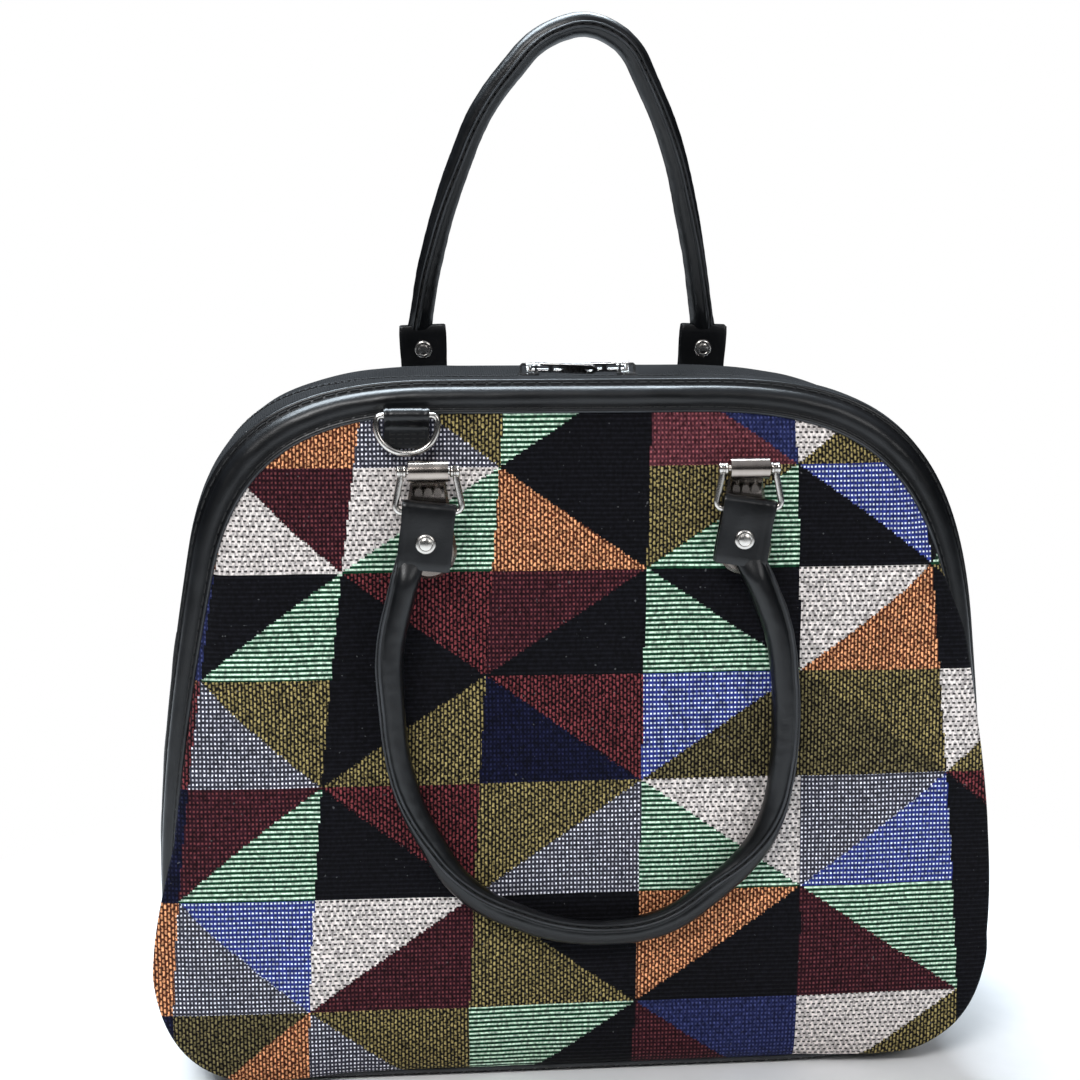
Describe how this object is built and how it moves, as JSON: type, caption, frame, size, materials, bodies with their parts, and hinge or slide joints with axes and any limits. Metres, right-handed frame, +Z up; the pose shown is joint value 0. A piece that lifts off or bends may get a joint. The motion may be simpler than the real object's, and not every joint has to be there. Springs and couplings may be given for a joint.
{
  "type": "handbag",
  "caption": "Domed tapestry handbag with padded black binding, zipped top, two rolled handles on hinged metal rings and a small strap ring.",
  "frame": {"origin": "on the flat base, under the middle of the bag", "axes": "+X across the front, +Y from the front to the back, +Z up"},
  "size_m": [0.3882, 0.1512, 0.5003],
  "materials": {
    "tapestry": "woven tapestry",
    "trim": "soft coated black",
    "canvas": "coarse black canvas",
    "zip_cloth": "fine woven tape",
    "zip_teeth": "black coil",
    "board": "plain board",
    "lining": "plain lining",
    "dark_nickel": "polished dark nickel",
    "bright_nickel": "polished nickel",
    "gunmetal": "polished gunmetal"
  },
  "bodies": {
    "bag": {"front_panel": "tapestry", "back_panel": "tapestry", "front_binding": "trim", "back_binding": "trim", "lower_gusset": "canvas", "zip_strip_front": "canvas", "zip_strip_back": "canvas", "zip_tape_front": "zip_cloth", "zip_tape_back": "zip_cloth", "zip_coil_front": "zip_teeth", "zip_coil_back": "zip_teeth", "base_board": "board", "lining": "lining", "strap_keeper": "trim", "front_left_anchor": "dark_nickel", "front_right_anchor": "dark_nickel", "back_left_anchor": "dark_nickel", "back_right_anchor": "dark_nickel", "anchor_washers": "bright_nickel"},
    "strap_ring": {"strap_ring": "bright_nickel"},
    "front_rings": {"front_left_ring": "bright_nickel", "front_right_ring": "bright_nickel", "front_left_pin": "bright_nickel", "front_right_pin": "bright_nickel"},
    "front_handle": {"front_handle": "trim", "front_handle_rivets": "bright_nickel"},
    "back_rings": {"back_left_ring": "bright_nickel", "back_right_ring": "bright_nickel", "back_left_pin": "bright_nickel", "back_right_pin": "bright_nickel"},
    "back_handle": {"back_handle": "trim", "back_handle_rivets": "bright_nickel"},
    "zip_slider_left": {"zip_slider_left": "gunmetal"},
    "zip_pull_left": {"zip_pull_left": "gunmetal"},
    "zip_slider_right": {"zip_slider_right": "gunmetal"},
    "zip_pull_right": {"zip_pull_right": "gunmetal"}
  },
  "joints": [
    {"name": "strap_ring_swing", "type": "hinge", "parent": "bag", "child": "strap_ring", "pos_m": [-0.0776, -0.05874, 0.31394], "axis": [-1, 0, 0], "range_deg": [0, 150]},
    {"name": "front_rings_swing", "type": "hinge", "parent": "bag", "child": "front_rings", "pos_m": [0, -0.06664, 0.29], "axis": [-1, 0, 0], "range_deg": [0, 125]},
    {"name": "front_handle_swing", "type": "hinge", "parent": "front_rings", "child": "front_handle", "pos_m": [0, -0.06735, 0.27201], "axis": [-1, 0, 0], "range_deg": [0, 40]},
    {"name": "back_rings_swing", "type": "hinge", "parent": "bag", "child": "back_rings", "pos_m": [0, 0.06536, 0.305], "axis": [-1, 0, 0], "range_deg": [0, 140]},
    {"name": "back_handle_swing", "type": "hinge", "parent": "back_rings", "child": "back_handle", "pos_m": [0, 0.06285, 0.32282], "axis": [-1, 0, 0], "range_deg": [0, 40]},
    {"name": "zip_left_slide", "type": "slide", "parent": "bag", "child": "zip_slider_left", "axis": [-1, 0, 0], "range_m": [0, 0.035]},
    {"name": "zip_right_slide", "type": "slide", "parent": "bag", "child": "zip_slider_right", "axis": [1, 0, 0], "range_m": [0, 0.022]},
    {"name": "pull_left_swing", "type": "hinge", "parent": "zip_slider_left", "child": "zip_pull_left", "pos_m": [-0.0195, 0, 0.33077], "axis": [-0.1642, -0.9864, 0], "range_deg": [0, 165]},
    {"name": "pull_right_swing", "type": "hinge", "parent": "zip_slider_right", "child": "zip_pull_right", "pos_m": [0.028, 0, 0.33077], "axis": [0.1642, 0.9864, 0], "range_deg": [0, 165]}
  ]
}
